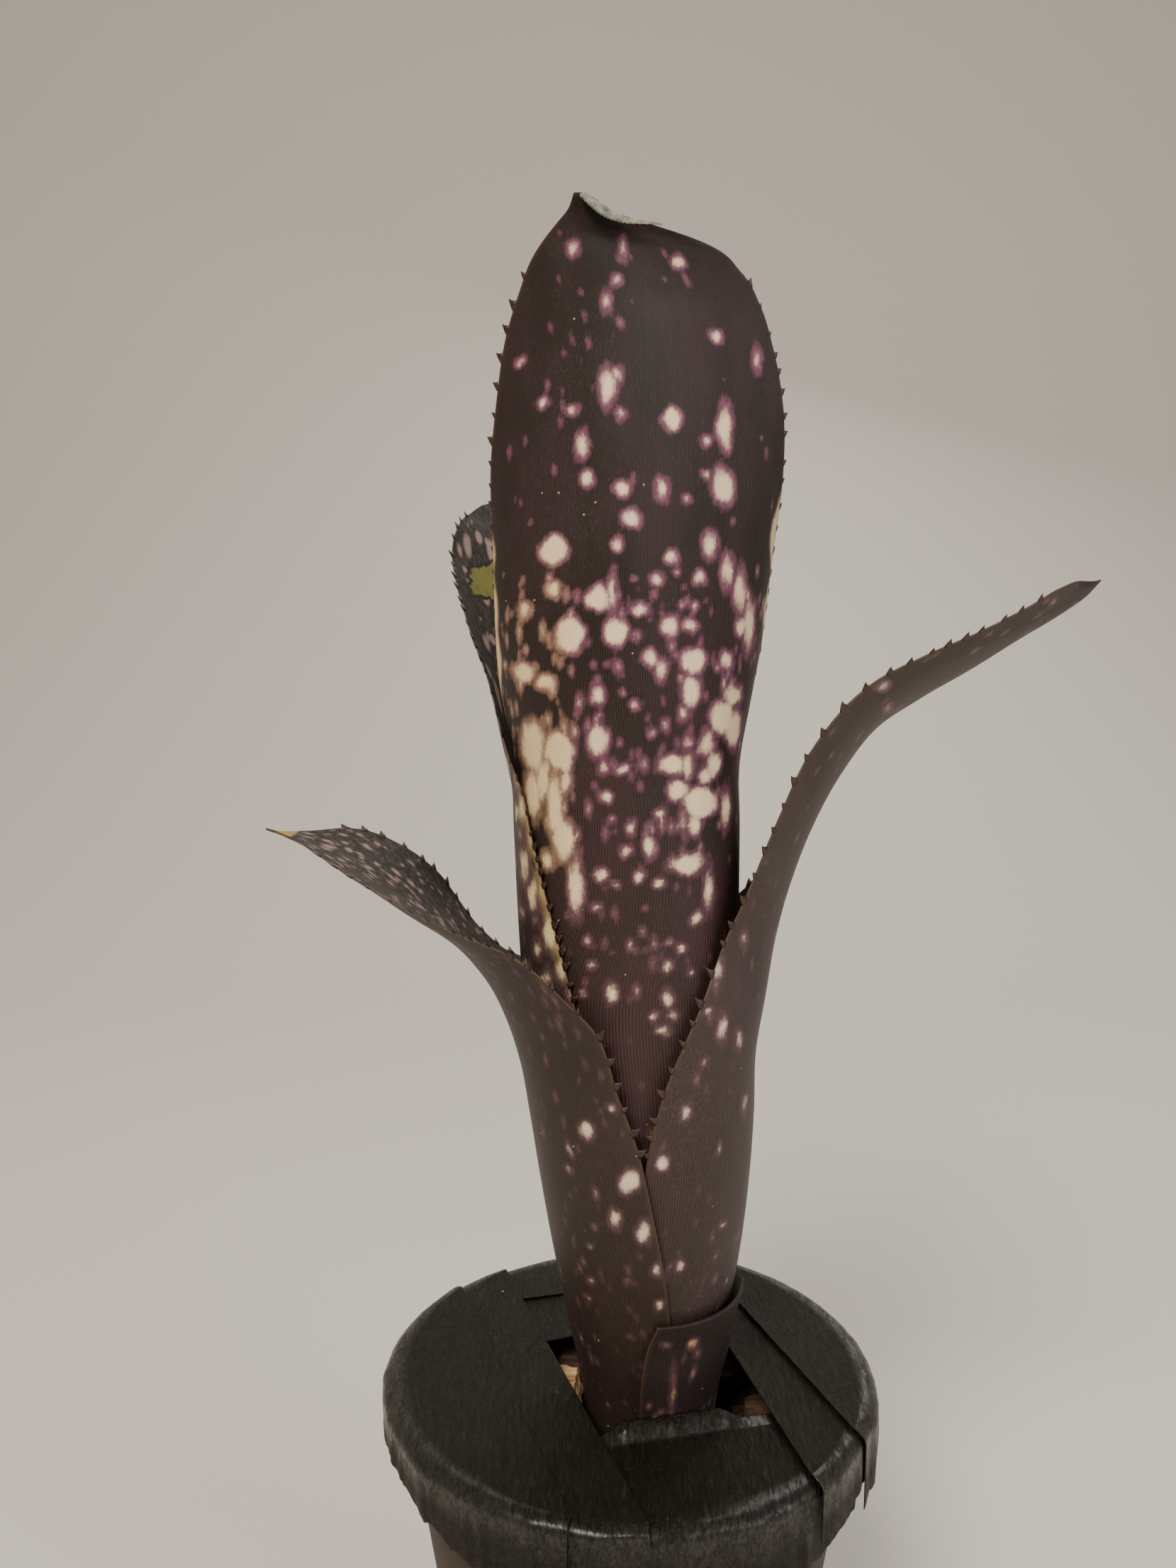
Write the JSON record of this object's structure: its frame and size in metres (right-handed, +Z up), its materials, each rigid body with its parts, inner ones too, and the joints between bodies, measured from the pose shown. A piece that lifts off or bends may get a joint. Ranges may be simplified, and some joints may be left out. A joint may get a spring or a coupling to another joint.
{
  "type": "potted bromeliad",
  "caption": "Tubular tank bromeliad with dark, pale-spotted leaves rolled round a water tank, in a tapered plastic pot whose mouth is closed with black tape strips round the plant.",
  "frame": {"origin": "centre of the underside of the pot, where it rests", "axes": "+Z up; the tallest leaf's back faces -Y; the longest side leaf reaches towards +X"},
  "size_m": [0.1904, 0.1172, 0.3711],
  "materials": {
    "pot": "semi-matt brown",
    "bark_mix": "rough, damp",
    "stem": "rough",
    "bark": "rough",
    "tape": "matt, finely creased",
    "leaf": "satin",
    "old_sheath": "dry, matt"
  },
  "bodies": {
    "root": {"pot": "pot", "bark_mix": "bark_mix", "stem": "stem", "bark_chip_1": "bark", "bark_chip_2": "bark", "bark_chip_3": "bark", "bark_chip_4": "bark", "bark_chip_5": "bark", "bark_chip_6": "bark", "bark_chip_7": "bark", "bark_chip_8": "bark", "tape_front": "tape", "tape_back": "tape", "tape_back_top": "tape", "tape_left": "tape", "tape_left_edge": "tape", "tape_right": "tape", "tape_right_edge": "tape", "leaf_front": "leaf", "leaf_back": "leaf", "leaf_right": "leaf", "leaf_left": "leaf", "old_sheath": "old_sheath"}
  },
  "joints": []
}
